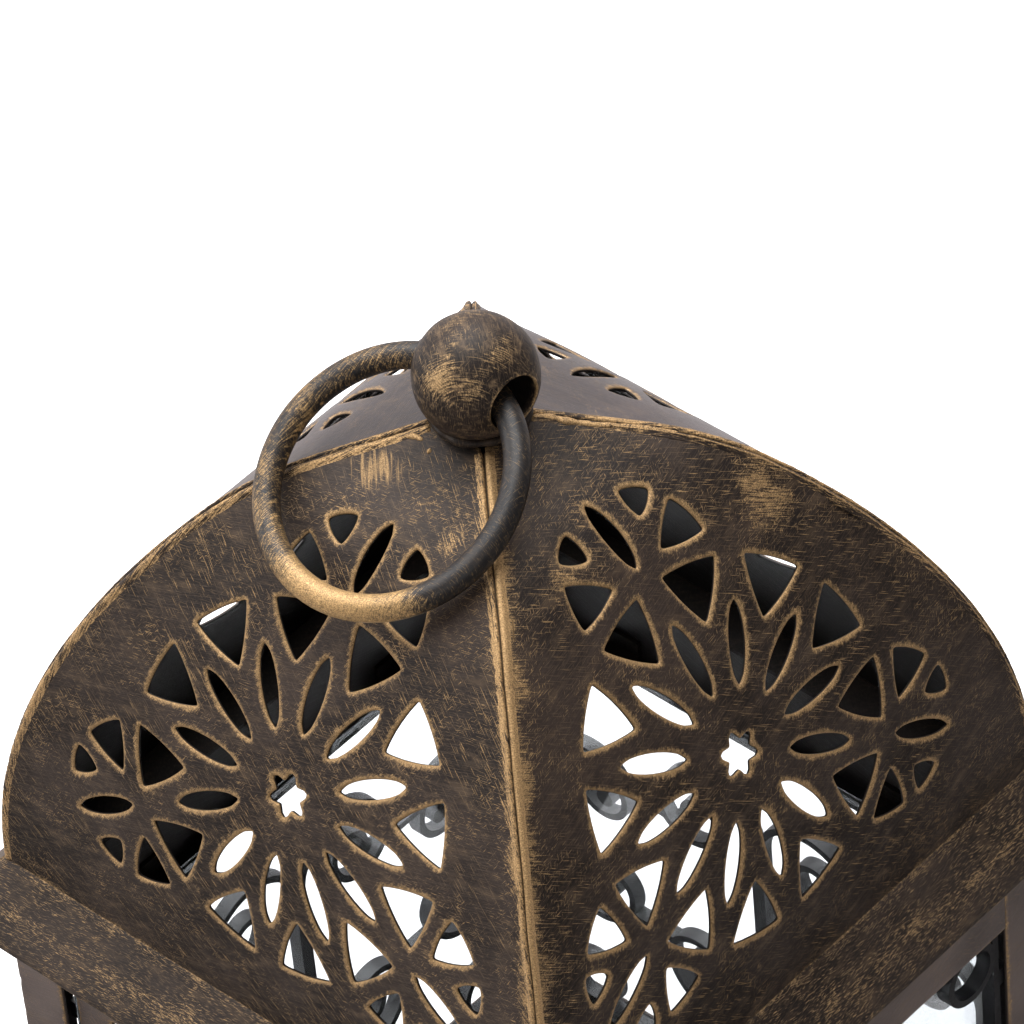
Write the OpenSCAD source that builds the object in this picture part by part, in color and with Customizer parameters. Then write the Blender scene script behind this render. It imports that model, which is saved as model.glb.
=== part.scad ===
// Candle lantern: square glazed body under a pierced four-panel dome,
// with a drilled ball finial, a loose carry ring and a hinged front door.
// Origin: middle of the base on the ground. +Z up, door on the -Y side.

/* [Sheet metal] */
// Thickness of the dome, eave and base sheet
sheet = 0.8; // [0.7:0.1:1]
// Thickness of the posts and rails
plate = 1; // [0.8:0.1:1.2]

/* [Body] */
// Height of the dome's base above the ground
dome_base_z = 142; // [136:1:150]
// Width of the body across its flat faces
body_w = 111.4; // [111.2:0.2:112]
// Width of a corner post's leg
post_w = 9.4; // [9:0.1:10]
// Height of the top edge of the windows
window_top_z = 112.5; // [108:0.5:114]
// Height of the bottom edge of the windows
window_bottom_z = 28; // [26:0.5:30]

/* [Dome] */
// Width of the dome across its flat base
dome_w = 110; // [109:0.5:111]
// Radius of the long lower arc of a dome panel
dome_r = 100; // [99:0.5:101]
// Angle that the lower arc sweeps
dome_arc = 42.6; // [42:0.1:43]
// Radius of the shoulder arc above it
shoulder_r = 33; // [32:0.5:34]
// Angle at which the shoulder runs into the straight tip
shoulder_end = 67.7; // [67:0.1:68]
// Half-width of the square hole where the ball sits
tip_half = 4.8; // [4.6:0.1:5]
// Width of the soldered seam between two panels
seam_w = 0.5; // [0.4:0.1:0.8]

/* [Pierced rosette] */
// Length along the sheet from the dome's base to the star
star_s = 42; // [41.5:0.1:42.5]
// Radius that the whole rosette is drawn to
rosette_r = 55; // [54:0.5:55]

/* [Eave and base] */
// How far the eave stands out past the dome
eave_out = 8.2; // [8:0.1:9]
// How far the eave drops below the dome's base
eave_drop = 9.2; // [9:0.1:10]
// Height of the turned-down lip on the eave
eave_lip = 1; // [0.8:0.1:1.4]
// Height of the flared base skirt
skirt_h = 14; // [13:0.5:15]
// Height of the skirt's upright foot
skirt_foot = 3; // [2.5:0.5:4]

/* [Ball and ring] */
// Diameter of the ball finial
ball_d = 18.7; // [18.5:0.1:19]
// Height of the ball's centre above the dome's base
ball_z = 89; // [88.9:0.1:89.3]
// Diameter of the hole through the ball
ball_hole_d = 8.6; // [8.6:0.1:9]
// Turn of the ball's hole away from the X axis
ball_yaw = -7; // [-8:1:-6]
// Radius of the ring's centre line
ring_r = 19.3; // [19:0.1:19.6]
// Diameter of the ring's wire
ring_wire_d = 4.1; // [3.9:0.1:4.1]
// Angle below level at which the ring rests
ring_rest = 28.5; // [24:0.5:28.5]
// Lean of the ring towards one side
ring_lean = 4; // [3.5:0.5:4.5]

/* [Door] */
// Gap between the door and its frame
door_gap = 1.2; // [1:0.1:1.4]
// Depth of the door's face behind the posts
door_recess = 1.8; // [1.6:0.1:2]
// Width of the door's frame
door_frame_w = 7.3; // [6.5:0.1:8]
// Height of the lintel's lower edge
lintel_z = 124; // [123:0.5:126]
// Height of the sill's upper edge
sill_z = 24; // [23:0.5:25]
// Radius of the hinge pins
pin_r = 0.7; // [0.6:0.05:0.8]
// Radial clearance round a hinge pin
pin_clear = 0.05; // [0.04:0.01:0.08]

/* [Glass and scrollwork] */
// Thickness of the glass
glass = 1.6; // [1.4:0.1:2]
// Depth of the scrollwork strip
scroll_depth = 2.5; // [2:0.1:2.6]
// Width of the scrollwork strip
scroll_w = 1.3; // [1.1:0.1:1.5]

/* [Candle cup] */
// Inner radius of the candle cup
cup_r = 26; // [22:0.5:28]
// Height of the candle cup's wall
cup_h = 9; // [7:0.5:12]

/* [Hidden] */
$fn = 96;

bronze = [0.23, 0.19, 0.15];
gold = [0.55, 0.43, 0.26];
black_iron = [0.1, 0.1, 0.11];
clear_glass = [0.8, 0.88, 0.9, 0.3];

dome_half = dome_w / 2;
body_half = body_w / 2;
post_edge = body_half - post_w;
eps = 0.01;

// ---- Dome profile: outward distance and height for a length along the sheet

lower_len = dome_r * dome_arc * PI / 180;
shoulder_len = shoulder_r * (shoulder_end - dome_arc) * PI / 180;
lower_c = [dome_half - dome_r, dome_base_z];
shoulder_c = lower_c + (dome_r - shoulder_r) * [cos(dome_arc), sin(dome_arc)];
shoulder_tip = shoulder_c + shoulder_r * [cos(shoulder_end), sin(shoulder_end)];
tip_len = (shoulder_tip[0] - tip_half) / sin(shoulder_end);
sheet_len = lower_len + shoulder_len + tip_len;

function sheet_angle(s) =
  s < lower_len ? s / dome_r * 180 / PI :
  s < lower_len + shoulder_len ? dome_arc + (s - lower_len) / shoulder_r * 180 / PI :
  shoulder_end;

function sheet_point(s) =
  s < lower_len ? lower_c + dome_r * [cos(sheet_angle(s)), sin(sheet_angle(s))] :
  s < lower_len + shoulder_len ?
    shoulder_c + shoulder_r * [cos(sheet_angle(s)), sin(sheet_angle(s))] :
  shoulder_tip + (s - lower_len - shoulder_len) * [-sin(shoulder_end), cos(shoulder_end)];

// ---- Helpers

// Lays a flat (outward, height) outline upright and runs it along a side of given length
module along_side(length) {
  rotate([90, 0, -90])
    linear_extrude(height = length, center = true)
      children();
}

// Keeps the front quarter between the two diagonals, less a gap at each
module front_quarter(gap = 0) {
  reach = dome_w;
  apex = -gap * sqrt(2);
  intersection() {
    children();
    linear_extrude(height = 2 * dome_base_z)
      polygon([[0, apex], [reach, apex - reach], [-reach, apex - reach]]);
  }
}

// Square ring of a given (outward, height) outline, mitred at the corners
module square_ring(length) {
  for (turn = [0:90:270])
    rotate(turn)
      front_quarter()
        along_side(length)
          children();
}

// One arc stretch of the dome sheet, between two depths under its surface
module arc_stretch(centre, radius, from, to, outer, inner) {
  reach = radius * 1.3;
  intersection() {
    translate(centre)
      difference() {
        circle(r = radius - outer);
        circle(r = radius - inner);
      }
    polygon([centre, centre + reach * [cos(from), sin(from)],
      centre + reach * [cos((from + to) / 2), sin((from + to) / 2)],
      centre + reach * [cos(to), sin(to)]]);
  }
}

// Section through the dome sheet, from its upright foot to its straight tip
module dome_section(outer, inner) {
  normal = [cos(shoulder_end), sin(shoulder_end)];
  tip = shoulder_tip + tip_len * [-sin(shoulder_end), cos(shoulder_end)];
  lap = 0.05;
  start = shoulder_tip + lap * [sin(shoulder_end), -cos(shoulder_end)];
  arc_stretch(lower_c, dome_r, 0, dome_arc, outer, inner);
  arc_stretch(shoulder_c, shoulder_r, dome_arc - lap, shoulder_end, outer, inner);
  polygon([start - outer * normal, tip - outer * normal,
    tip - inner * normal, start - inner * normal]);
  translate([dome_half - inner, dome_base_z - frame_drop])
    square([inner - outer, frame_drop + lap]);
}

// Moves an outline onto the front dome panel at a length along the sheet
module on_sheet(s) {
  spot = sheet_point(s);
  translate([0, -spot[0], spot[1]])
    rotate([90 - sheet_angle(s), 0, 0])
      linear_extrude(height = 8, center = true)
        children();
}

// ---- Rosette outlines, drawn on the flat sheet round the star, radius 1

function polar(r, angle) = [r * cos(angle), r * sin(angle)];
function side_normal(p, q) = [q[1] - p[1], p[0] - q[0]] / norm(q - p);

// Side of a piercing from p to q, bowed out by a height. Below 1, blunt makes the ends rounder
function bowed(p, q, bow, steps = 3, blunt = 1) =
  [for (i = [0:steps - 1]) let (t = i / steps)
    p + (q - p) * t + side_normal(p, q) * bow * pow(4 * t * (1 - t), blunt)];

function lens(r0, r1, half, angle, steps = 6, blunt = 0.7) =
  let (a = polar(r0, angle), b = polar(r1, angle))
  concat(bowed(a, b, half, steps, blunt), bowed(b, a, half, steps, blunt));

function three_sides(a, b, c, bow) = concat(bowed(a, b, bow), bowed(b, c, bow), bowed(c, a, bow));

petal_from = 0.178;
petal_to = 0.41;
petal_half = 0.0275;
flower_r = 0.54;

function petal(angle) = lens(petal_from, petal_to, petal_half, angle);
function outer_leaf(angle) = three_sides(polar(0.362, angle), polar(0.526, angle - 9.8),
  polar(0.526, angle + 9.8), 0.008);
function flower_point(angle, r, side) = polar(flower_r, angle) + polar(r, angle + side);
function flower_lens(angle) = lens(flower_r + 0.042, flower_r + 0.262, 0.0265, angle);
function flower_small(angle, way) =
  let (a = flower_point(angle, 0.176, way * 35.5), b = flower_point(angle, 0.255, way * 23.7),
    c = flower_point(angle, 0.257, way * 43.5))
  way > 0 ? three_sides(a, b, c, 0.008) : three_sides(a, c, b, 0.008);
function flower_large(angle, way) =
  let (a = flower_point(angle, 0.103, way * 65), b = flower_point(angle, 0.247, way * 57.5),
    c = flower_point(angle, 0.237, way * 88))
  way > 0 ? three_sides(a, b, c, 0.008) : three_sides(a, c, b, 0.008);
star_outline = [for (i = [0:35]) polar(0.048 + 0.01 * cos(60 * i), 90 + 10 * i)];

function middle_y(points) = (max([for (p = points) p[1]]) + min([for (p = points) p[1]])) / 2;

rosette = concat(
  [star_outline],
  [for (angle = [0:30:330]) petal(angle)],
  [for (angle = [15:30:345]) outer_leaf(angle)],
  [for (angle = [90:120:330]) flower_lens(angle)],
  [for (angle = [90:120:330], way = [-1, 1]) flower_small(angle, way)],
  [for (angle = [90:120:330], way = [-1, 1]) flower_large(angle, way)]
);

module rosette_cuts() {
  for (outline = rosette) {
    y = middle_y(outline) * rosette_r;
    on_sheet(star_s + y)
      polygon([for (p = outline) [p[0] * rosette_r, p[1] * rosette_r - y]]);
  }
}

// ---- Dome, eave and finial

frame_drop = 2.4;

module dome_panel(turn) {
  color(bronze)
    rotate(turn)
      difference() {
        front_quarter(seam_w / 2)
          along_side(dome_w + 4)
            dome_section(0, sheet);
        rosette_cuts();
      }
}

module dome_panel_front() dome_panel(0);
module dome_panel_right() dome_panel(90);
module dome_panel_rear() dome_panel(180);
module dome_panel_left() dome_panel(270);

// Point under the dome's ridge, in the upright plane of the diagonal
function ridge_point(s, depth) =
  let (p = sheet_point(s) - depth * [cos(sheet_angle(s)), sin(sheet_angle(s))])
  [p[0] * sqrt(2), p[1]];

module ridge_seams() {
  groove = 0.25;
  steps = 36;
  top = [for (i = [0:steps]) ridge_point(sheet_len * i / steps, groove)];
  under = [for (i = [steps:-1:0]) ridge_point(sheet_len * i / steps, sheet)];
  color(gold)
    for (turn = [-45:90:225])
      rotate(turn)
        rotate([90, 0, 0])
          linear_extrude(height = seam_w, center = true)
            polygon(concat(top, under));
}

module eave_band() {
  thick = sheet * norm([eave_out, eave_drop]) / eave_out;
  rise = eave_drop / eave_out;
  color(bronze)
    square_ring(dome_w + 2 * eave_out)
      translate([dome_half, dome_base_z])
        polygon([[0, 0], [eave_out, -eave_drop], [eave_out, -eave_drop - eave_lip],
          [eave_out - sheet, -eave_drop - eave_lip], [eave_out - sheet, -eave_drop - thick + rise * sheet],
          [0, -thick]]);
}

module top_frame() {
  ledge = 8;
  z = dome_base_z - frame_drop;
  color(bronze)
    difference() {
      translate([-dome_half, -dome_half, z - sheet])
        cube([dome_w, dome_w, sheet]);
      translate([ledge - dome_half, ledge - dome_half, z - 5])
        cube([dome_w - 2 * ledge, dome_w - 2 * ledge, 10]);
    }
}

module ball_finial() {
  color(gold)
    translate([0, 0, dome_base_z + ball_z])
      difference() {
        sphere(d = ball_d);
        rotate([0, 90, ball_yaw])
          cylinder(d = ball_hole_d, h = ball_d + 4, center = true);
      }
}

module finial_weld() {
  weld_r = 6.2;
  weld_z = dome_base_z + ball_z - sqrt(ball_d * ball_d / 4 - weld_r * weld_r);
  color(gold)
    difference() {
      translate([0, 0, weld_z])
        rotate_extrude()
          translate([weld_r + 0.5, 0])
            circle(r = 1.1);
      translate([0, 0, dome_base_z + ball_z])
        sphere(d = ball_d + 0.04);
      translate([0, 0, weld_z - 2.5])
        cylinder(r = ball_d, h = 2);
    }
}

module carry_ring() {
  color(gold)
    translate([0, 0, dome_base_z + ball_z])
      rotate(ball_yaw)
        rotate([ring_rest, 0, 0])
          rotate([0, ring_lean, 0])
            translate([0, -ring_r, 0])
              rotate_extrude()
                translate([ring_r, 0])
                  circle(d = ring_wire_d);
}

// ---- Body frame

rail_top_z = dome_base_z - frame_drop - sheet;
body_bottom_z = 9;

module corner_post(turn) {
  color(bronze)
    rotate(turn)
      translate([body_half, -body_half, body_bottom_z])
        linear_extrude(height = rail_top_z - body_bottom_z)
          polygon([[0, 0], [0, post_w], [-plate, post_w], [-plate, plate],
            [-post_w, plate], [-post_w, 0]]);
}

module corner_post_front_right() corner_post(0);
module corner_post_rear_right() corner_post(90);
module corner_post_rear_left() corner_post(180);
module corner_post_front_left() corner_post(270);

// Flat rail between two posts, on the side that faces a given turn from the front
module rail(turn, low, high) {
  color(bronze)
    rotate(turn)
      translate([-post_edge, -body_half, low])
        cube([2 * post_edge, plate, high - low]);
}

module door_lintel() rail(0, lintel_z, rail_top_z);
module door_sill() rail(0, body_bottom_z, sill_z);
module top_rail_right() rail(90, window_top_z, rail_top_z);
module top_rail_rear() rail(180, window_top_z, rail_top_z);
module top_rail_left() rail(270, window_top_z, rail_top_z);
module bottom_rail_right() rail(90, body_bottom_z, window_bottom_z);
module bottom_rail_rear() rail(180, body_bottom_z, window_bottom_z);
module bottom_rail_left() rail(270, body_bottom_z, window_bottom_z);

module floor_tray() {
  half = body_half - plate;
  color(bronze)
    difference() {
      translate([-half, -half, floor_z - sheet])
        cube([2 * half, 2 * half, sheet]);
      translate([0, 0, floor_z - 5])
        cylinder(r = rivet_r, h = 10);
    }
}

module base_skirt() {
  out = eave_out;
  rise = (skirt_h - skirt_foot) / out;
  thick = sheet * sqrt(1 + rise * rise);
  flange = 3.2;
  color(bronze)
    square_ring(body_w + 2 * out)
      translate([body_half, 0])
        polygon([[0, skirt_h], [0, skirt_h - thick], [out - sheet, skirt_foot - thick + rise * sheet],
          [out - sheet, sheet], [out - flange, sheet], [out - flange, 0], [out, 0], [out, skirt_foot]]);
}

// ---- Candle cup

floor_z = 14;
rivet_r = 1.6;
cup_wall = 0.8;

// Cone through the cup's floor that takes the rivet's flush head, eased by a gap
module countersink(gap) {
  flare = 1;
  translate([0, 0, -eps])
    cylinder(r1 = rivet_r - 0.05 + gap, r2 = rivet_r - 0.05 + gap + flare, h = cup_wall + 2 * eps);
}

module candle_cup() {
  lip = 0.7;
  lip_out = 1.2;
  color(gold)
    translate([0, 0, floor_z])
      difference() {
        union() {
          cylinder(r = cup_r + cup_wall, h = cup_h);
          translate([0, 0, cup_h - lip])
            rotate_extrude()
              translate([cup_r + cup_wall, 0])
                square([lip_out, lip]);
        }
        translate([0, 0, cup_wall])
          cylinder(r = cup_r, h = cup_h);
        countersink(0.05);
      }
}

module candle_cup_rivet() {
  head_r = 3;
  head_h = 1;
  color(gold)
    translate([0, 0, floor_z]) {
      translate([0, 0, -sheet - head_h])
        cylinder(r = head_r, h = head_h);
      translate([0, 0, -sheet - eps])
        cylinder(r = rivet_r - 0.05, h = sheet + 2 * eps);
      countersink(0);
    }
}

// ---- Glass, scrollwork and tabs

glass_overlap = 2;
scroll_back = body_half - plate - scroll_depth;

module glass_pane(turn, front, half_w, low, high) {
  color(clear_glass)
    rotate(turn)
      translate([-half_w, -front, low])
        cube([2 * half_w, glass, high - low]);
}

module window_glass(turn) glass_pane(turn, scroll_back, post_edge + glass_overlap,
  window_bottom_z - glass_overlap, window_top_z + glass_overlap);
module window_glass_right() window_glass(90);
module window_glass_rear() window_glass(180);
module window_glass_left() window_glass(270);

// Flat ring sector, in the plane of the scrollwork
module strip_arc(radius, from, sweep) {
  rotate(from)
    rotate_extrude(angle = sweep)
      translate([radius - scroll_w / 2, 0])
        square([scroll_w, scroll_depth]);
}

// Curl that starts at the origin heading along +Y and winds in to an eye, to the left
module curl(radius) {
  inner = radius * 0.62;
  last = radius * 0.36;
  eye_r = 1.7;
  translate([-radius, 0, 0])
    strip_arc(radius, 0, 180);
  translate([-2 * radius + inner, 0, 0])
    strip_arc(inner, 180, 180);
  translate([-2 * radius + 2 * inner - last, 0, 0]) {
    strip_arc(last, 0, 200);
    translate(polar(last, 200))
      cylinder(r = eye_r, h = scroll_depth);
  }
}

// C-shaped scroll: two curls joined by an upright back bar
module c_scroll(radius, back) {
  translate([0, back / 2, 0])
    curl(radius);
  translate([0, -back / 2, 0])
    mirror([0, 1, 0])
      curl(radius);
  translate([-scroll_w / 2, -back / 2, 0])
    cube([scroll_w, back, scroll_depth]);
}

// Border bar round a panel of scrollwork
module scroll_border(half_w, half_h) {
  difference() {
    translate([-half_w, -half_h, 0])
      cube([2 * half_w, 2 * half_h, scroll_depth]);
    translate([scroll_w - half_w, scroll_w - half_h, -1])
      cube([2 * (half_w - scroll_w), 2 * (half_h - scroll_w), scroll_depth + 2]);
  }
}

// Whole scrollwork panel, drawn flat: border, corner rings, four C-scrolls and ties. The border's
// top and bottom bars lie behind the plate above and below the window, its sides stand in the window
module scroll_panel(half_w, half_h) {
  corner_r = 5;
  gap = 1;
  tie = 3.4;
  big_r = (half_w - 2 * scroll_w) / 4.4;
  small_r = big_r * 0.8;
  in_w = half_w - gap;
  in_h = half_h + scroll_w;
  big_back = half_h * 0.87;
  small_back = half_h * 0.54;
  big_x = scroll_w * 0.45;
  small_x = in_w - scroll_w * 0.95;
  // a level bar joins each big curl to its small neighbour, halfway between their middles
  link_y = (big_back + small_back) / 4;
  link_rise = (big_back - small_back) / 4;
  link_from = big_x + big_r * 1.38 + sqrt(pow(big_r * 0.62, 2) - pow(link_rise, 2));
  link_to = small_x - small_r - sqrt(pow(small_r, 2) - pow(link_rise, 2));
  scroll_border(in_w, in_h);
  for (mx = [0, 1], my = [0, 1])
    mirror([mx, 0, 0])
      mirror([0, my, 0]) {
        translate([in_w - scroll_w - corner_r, half_h - corner_r, 0])
          strip_arc(corner_r, 0, 360);
        translate([in_w - 0.2, half_h * 0.74 - tie / 2, 0])
          cube([gap + 1.2, tie, scroll_depth]);
        translate([link_from, link_y - scroll_w / 2, 0])
          cube([link_to - link_from, scroll_w, scroll_depth]);
      }
  for (way = [0, 1])
    mirror([way, 0, 0]) {
      translate([big_x, 0, 0])
        mirror([1, 0, 0])
          c_scroll(big_r, big_back);
      translate([small_x, 0, 0])
        c_scroll(small_r, small_back);
    }
  // the middle bar stands on the bottom bar and stops where the curls begin
  translate([-scroll_w / 2, -in_h + eps, 0])
    cube([scroll_w, in_h + big_back / 2 - eps, scroll_depth]);
}

// Stands a flat scrollwork panel up behind the plate of one side
module stand_up(turn, back, middle_z) {
  color(black_iron)
    rotate(turn)
      translate([0, -back, middle_z])
        rotate([90, 0, 0])
          children();
}

module window_scroll(turn)
  stand_up(turn, scroll_back, (window_top_z + window_bottom_z) / 2)
    scroll_panel(post_edge, (window_top_z - window_bottom_z) / 2);
module window_scroll_right() window_scroll(90);
module window_scroll_rear() window_scroll(180);
module window_scroll_left() window_scroll(270);

// Sheet tab that hooks over the back of a pane's edge. Base is the face that it is fixed to
module glass_tab(base, pane_front, edge_z, way) {
  width = 6;
  play = 0.5;
  hold = 3;
  foot = 3.5;
  back = pane_front - glass;
  flip = way > 0 ? 0 : 1;
  translate([0, 0, edge_z])
    mirror([0, 0, flip])
      along_side(width)
        polygon([[base, play], [base, play + foot], [base - sheet, play + foot],
          [base - sheet, play + sheet], [back - sheet, play + sheet], [back - sheet, -hold],
          [back, -hold], [back, play]]);
}

module window_glass_tabs() {
  spread = 0.6 * post_edge;
  color(bronze)
    for (turn = [90:90:270], x = [-spread, spread])
      rotate(turn)
        translate([x, 0, 0]) {
          glass_tab(body_half - plate, scroll_back, window_top_z + glass_overlap, 1);
          glass_tab(body_half - plate, scroll_back, window_bottom_z - glass_overlap, -1);
        }
}

// ---- Door

door_face = body_half - door_recess;
door_half = post_edge - door_gap;
door_top = lintel_z - door_gap;
door_bottom = sill_z + door_gap;
door_glass_front = door_face - plate - scroll_depth;
door_open_half = door_half - door_frame_w;
door_open_top = door_top - door_frame_w;
door_open_bottom = door_bottom + door_frame_w;

module door_frame() {
  hem = 2;
  color(bronze)
    difference() {
      translate([-door_half, -door_face, door_bottom])
        cube([2 * door_half, plate + hem, door_top - door_bottom]);
      translate([plate - door_half, plate - door_face, door_bottom + plate])
        cube([2 * (door_half - plate), 2 * hem, door_top - door_bottom - 2 * plate]);
      translate([-door_open_half, -door_face - 1, door_open_bottom])
        cube([2 * door_open_half, plate + 2, door_open_top - door_open_bottom]);
    }
}

module door_glass() glass_pane(0, door_glass_front, door_open_half + glass_overlap,
  door_open_bottom - glass_overlap, door_open_top + glass_overlap);

module door_scroll()
  stand_up(0, door_glass_front, (door_open_top + door_open_bottom) / 2)
    scroll_panel(door_open_half, (door_open_top - door_open_bottom) / 2);

module door_glass_tabs() {
  spread = 0.6 * door_open_half;
  color(bronze)
    for (x = [-spread, spread])
      translate([x, 0, 0]) {
        glass_tab(door_face - plate, door_glass_front, door_open_top + glass_overlap, 1);
        glass_tab(door_face - plate, door_glass_front, door_open_bottom - glass_overlap, -1);
      }
}

// ---- Hinges: three knuckles on a headed pin, twice

hinge_x = -post_edge + 0.6;
knuckle_r = 1.7;
hinge_y = -body_half - knuckle_r;
hinge_h = 14;
knuckle_gap = 0.3;
knuckle_h = (hinge_h - 2 * knuckle_gap) / 3;
leaf = 0.8;
hinge_zs = [window_bottom_z + 8, window_top_z - 8 - hinge_h];

module at_hinges() {
  for (z = hinge_zs)
    translate([hinge_x, hinge_y, z])
      children();
}

module pin_bore() {
  translate([0, 0, -1])
    cylinder(r = pin_r + pin_clear, h = hinge_h + 2);
}

module hinge_post_leaves() {
  leaf_w = 7.6;
  color(bronze)
    at_hinges()
      difference() {
        union() {
          for (z = [0, hinge_h - knuckle_h])
            translate([0, 0, z]) {
              cylinder(r = knuckle_r, h = knuckle_h);
              translate([-leaf_w, knuckle_r - leaf, 0])
                cube([leaf_w, leaf, knuckle_h]);
            }
          translate([-leaf_w, knuckle_r - leaf, 0])
            cube([leaf_w - knuckle_r - 0.8, leaf, hinge_h]);
        }
        pin_bore();
      }
}

module hinge_door_leaves() {
  leaf_w = 6;
  setback = knuckle_r + door_recess;
  color(bronze)
    at_hinges()
      difference() {
        translate([0, 0, knuckle_h + knuckle_gap]) {
          cylinder(r = knuckle_r, h = knuckle_h);
          translate([knuckle_r - leaf, 0, 0])
            cube([leaf, setback, knuckle_h]);
          translate([knuckle_r - leaf, setback - leaf, 0])
            cube([leaf_w, leaf, knuckle_h]);
        }
        pin_bore();
      }
}

module hinge_pins() {
  head_h = 0.8;
  color(gold)
    at_hinges() {
      translate([0, 0, -0.6])
        cylinder(r = pin_r, h = hinge_h + 0.6);
      translate([0, 0, hinge_h])
        cylinder(r = knuckle_r - 0.2, h = head_h);
    }
}

// ---- Latch: a lever on a shouldered rivet in the door, and a keeper on the post

latch_x = door_half - door_frame_w / 2;
latch_z = (window_top_z + window_bottom_z) / 2;
latch_half_w = 2;
lever_stand = 0.5;
lever_back = body_half + lever_stand;
latch_reach = 11.5;

module latch_lever() {
  thumb_r = 1.6;
  thumb_drop = 5.4;
  neck_w = 2.4;
  boss_r = 3;
  color(gold)
    translate([latch_x, -lever_back, latch_z])
      rotate([90, 0, 0])
        difference() {
          union() {
            translate([-latch_half_w, 0, 0])
              cube([2 * latch_half_w, latch_reach, leaf]);
            cylinder(r = boss_r, h = leaf);
            translate([0, -thumb_drop, 0])
              cylinder(r = thumb_r, h = leaf);
            translate([-neck_w / 2, -thumb_drop, 0])
              cube([neck_w, thumb_drop, leaf]);
          }
          translate([0, 0, -1])
            cylinder(r = rivet_r + 0.05, h = leaf + 2);
        }
}

module latch_rivet() {
  shoulder_r = 2.4;
  head_gap = 0.1;
  color(gold)
    translate([latch_x, -door_face, latch_z])
      rotate([90, 0, 0]) {
        cylinder(r = shoulder_r, h = lever_back - door_face - head_gap);
        cylinder(r = rivet_r, h = lever_back - door_face + leaf + head_gap);
        translate([0, 0, lever_back - door_face + leaf + head_gap])
          cylinder(r = shoulder_r, h = 0.8);
      }
}

module latch_keeper() {
  width = 4;
  shelf_gap = 0.4;
  below = -latch_half_w - shelf_gap;
  front = lever_stand + leaf + 0.5;
  hook = 0.6;
  foot = 5;
  color(bronze)
    translate([latch_x + latch_reach - width, -body_half, latch_z])
      along_side(width)
        polygon([[0, below], [front, below], [front, hook], [front + leaf, hook],
          [front + leaf, below - leaf], [leaf, below - leaf], [leaf, below - foot], [0, below - foot]]);
}

dome_panel_front();
dome_panel_right();
dome_panel_rear();
dome_panel_left();
ridge_seams();
eave_band();
top_frame();
ball_finial();
finial_weld();
corner_post_front_right();
corner_post_rear_right();
corner_post_rear_left();
corner_post_front_left();
door_lintel();
door_sill();
top_rail_right();
top_rail_rear();
top_rail_left();
bottom_rail_right();
bottom_rail_rear();
bottom_rail_left();
window_glass_right();
window_glass_rear();
window_glass_left();
window_scroll_right();
window_scroll_rear();
window_scroll_left();
window_glass_tabs();
floor_tray();
base_skirt();
candle_cup();
candle_cup_rivet();
hinge_post_leaves();
hinge_pins();
latch_keeper();
door_frame();
door_glass();
door_scroll();
door_glass_tabs();
hinge_door_leaves();
latch_rivet();
latch_lever();
carry_ring();
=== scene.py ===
import math

import bmesh
import bpy
import numpy as np
from mathutils import Matrix, Vector, kdtree
from mathutils.geometry import delaunay_2d_cdt


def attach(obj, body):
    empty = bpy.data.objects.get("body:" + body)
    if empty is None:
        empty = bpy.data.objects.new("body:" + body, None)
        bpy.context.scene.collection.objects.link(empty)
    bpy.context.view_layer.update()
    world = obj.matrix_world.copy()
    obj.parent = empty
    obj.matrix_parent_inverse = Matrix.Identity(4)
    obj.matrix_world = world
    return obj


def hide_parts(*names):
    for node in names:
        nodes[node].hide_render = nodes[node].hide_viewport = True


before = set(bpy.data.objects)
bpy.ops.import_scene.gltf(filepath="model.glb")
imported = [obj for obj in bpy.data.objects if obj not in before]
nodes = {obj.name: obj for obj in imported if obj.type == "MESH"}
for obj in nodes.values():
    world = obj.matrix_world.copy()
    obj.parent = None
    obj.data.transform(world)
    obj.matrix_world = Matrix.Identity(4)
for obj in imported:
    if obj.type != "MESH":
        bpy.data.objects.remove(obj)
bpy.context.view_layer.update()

MM = 0.001

# ---- Sizes, the same as the CAD part's

SHEET = 0.8
PLATE = 1.0
DOME_BASE = 142.0
BODY_HALF = 55.7
POST_W = 9.4
POST_EDGE = BODY_HALF - POST_W
DOME_HALF = 55.0
DOME_R = 100.0
DOME_ARC = math.radians(42.6)
SHOULDER_R = 33.0
SHOULDER_END = math.radians(67.7)
TIP_HALF = 4.8
STAR_S = 42.0
ROSETTE_R = 55.0
FRAME_DROP = 2.4
WINDOW_TOP = 112.5
WINDOW_BOTTOM = 28.0
RAIL_TOP = DOME_BASE - FRAME_DROP - SHEET
BODY_BOTTOM = 9.0
EAVE_OUT = 8.2
EAVE_DROP = 9.2
EAVE_LIP = 1.0
SKIRT_H = 14.0
SKIRT_FOOT = 3.0
SKIRT_FLANGE = 3.2
BALL_R = 9.35
BALL_Z = DOME_BASE + 89.0
BALL_HOLE_R = 4.3
BALL_YAW = math.radians(-7)
RING_R = 19.3
WIRE_R = 2.05
RING_REST = math.radians(28.5)
RING_LEAN = math.radians(4)
LINTEL_Z = 124.0
SILL_Z = 24.0
DOOR_GAP = 1.2
DOOR_FACE = BODY_HALF - 1.8
DOOR_HALF = POST_EDGE - DOOR_GAP
DOOR_TOP = LINTEL_Z - DOOR_GAP
DOOR_BOTTOM = SILL_Z + DOOR_GAP
DOOR_FRAME_W = 7.3
DOOR_HEM = 2.0
TURNS = {"front": 0, "right": 90, "rear": 180, "left": 270}

# ---- Meshing of the flat patterns

# rows of points this far in from every edge, and creases kept at least this far from one
EDGE_ROWS = (0.2, 0.5)
CREASE_CLEAR = 0.6
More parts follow.
